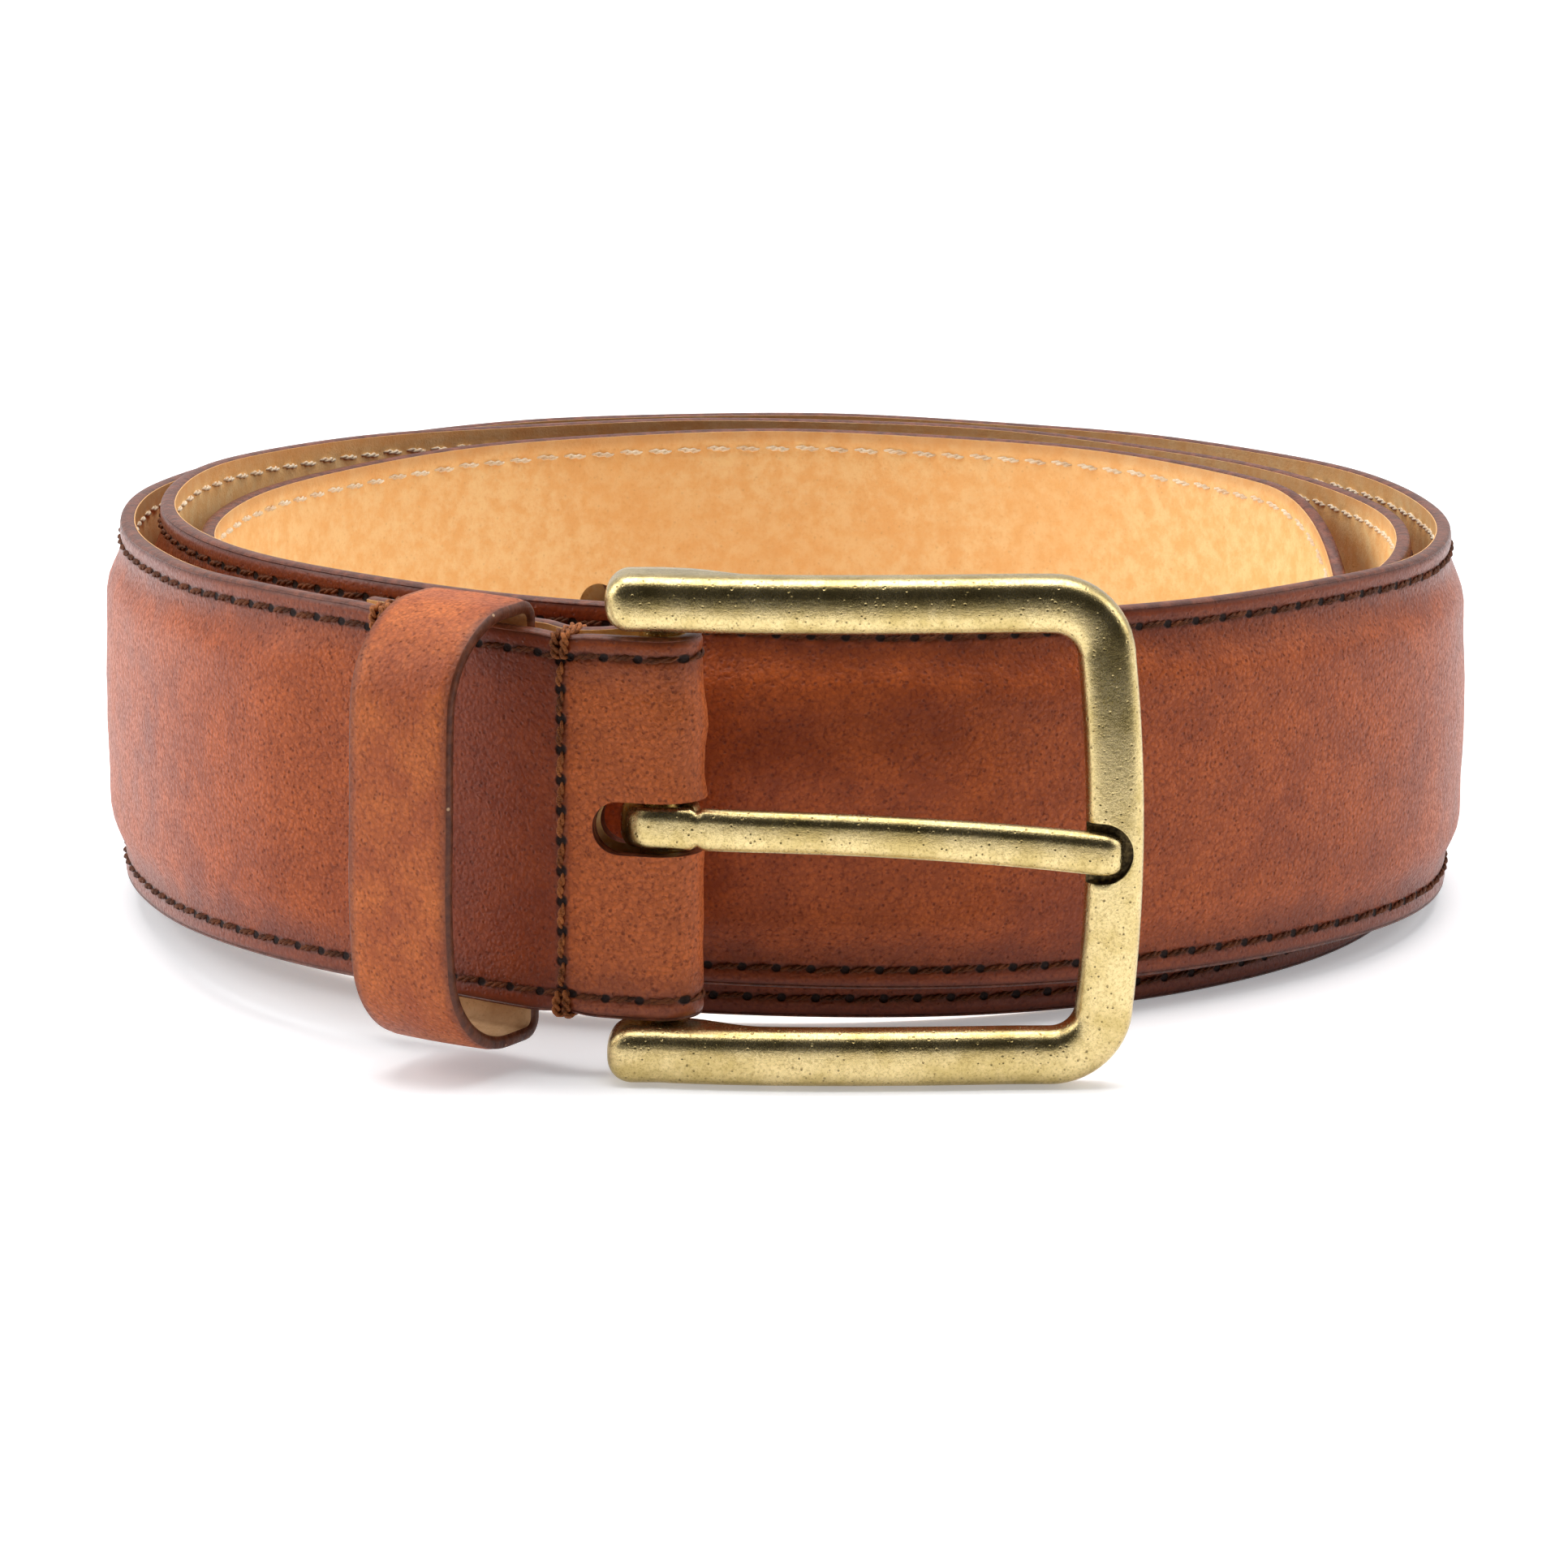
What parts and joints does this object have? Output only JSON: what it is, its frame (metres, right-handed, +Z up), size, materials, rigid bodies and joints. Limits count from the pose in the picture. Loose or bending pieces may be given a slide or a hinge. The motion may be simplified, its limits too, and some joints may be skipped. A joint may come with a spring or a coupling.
{
  "type": "leather belt",
  "caption": "Padded tan leather dress belt rolled up on its edge, with a stitched border, a leather keeper and an antique brass buckle with a swinging prong.",
  "frame": {"origin": "on the floor, under the middle of the rolled belt's footprint", "axes": "+X to the right as the buckle is faced, +Y away from the buckle through the roll, +Z up across the strap's width"},
  "size_m": [0.1332, 0.1474, 0.0467],
  "materials": {
    "face_leather": "burnished tan calf, darker at its edges, fine grain, satin wax",
    "lining_leather": "natural undyed leather, matt and mottled",
    "padding_board": "pressed leather filler, matt",
    "dark_thread": "twisted waxed thread, dark brown",
    "cream_thread": "twisted thread, cream",
    "keeper_leather": "tan calf, lighter than the strap, dark painted edges",
    "antique_brass": "brushed and aged, with small dark pits"
  },
  "bodies": {
    "strap": {"strap_face_leather": "face_leather", "padding_core": "padding_board", "strap_lining": "lining_leather", "needle_thread": "dark_thread", "bobbin_thread": "cream_thread", "seam_thread_buckle": "dark_thread", "seam_thread_keeper": "dark_thread", "keeper_loop": "keeper_leather"},
    "buckle": {"buckle_frame": "antique_brass", "heel_bar": "antique_brass"},
    "tongue": {"prong": "antique_brass"}
  },
  "joints": [
    {"name": "buckle_swing", "type": "hinge", "parent": "strap", "child": "buckle", "pos_m": [-0.01128, -0.06487, 0.02335], "axis": [0, 0, -1], "range_deg": [-8, 60]},
    {"name": "prong_lift", "type": "hinge", "parent": "buckle", "child": "tongue", "pos_m": [-0.01128, -0.06487, 0.02335], "axis": [0, 0, -1], "range_deg": [0, 48]}
  ]
}
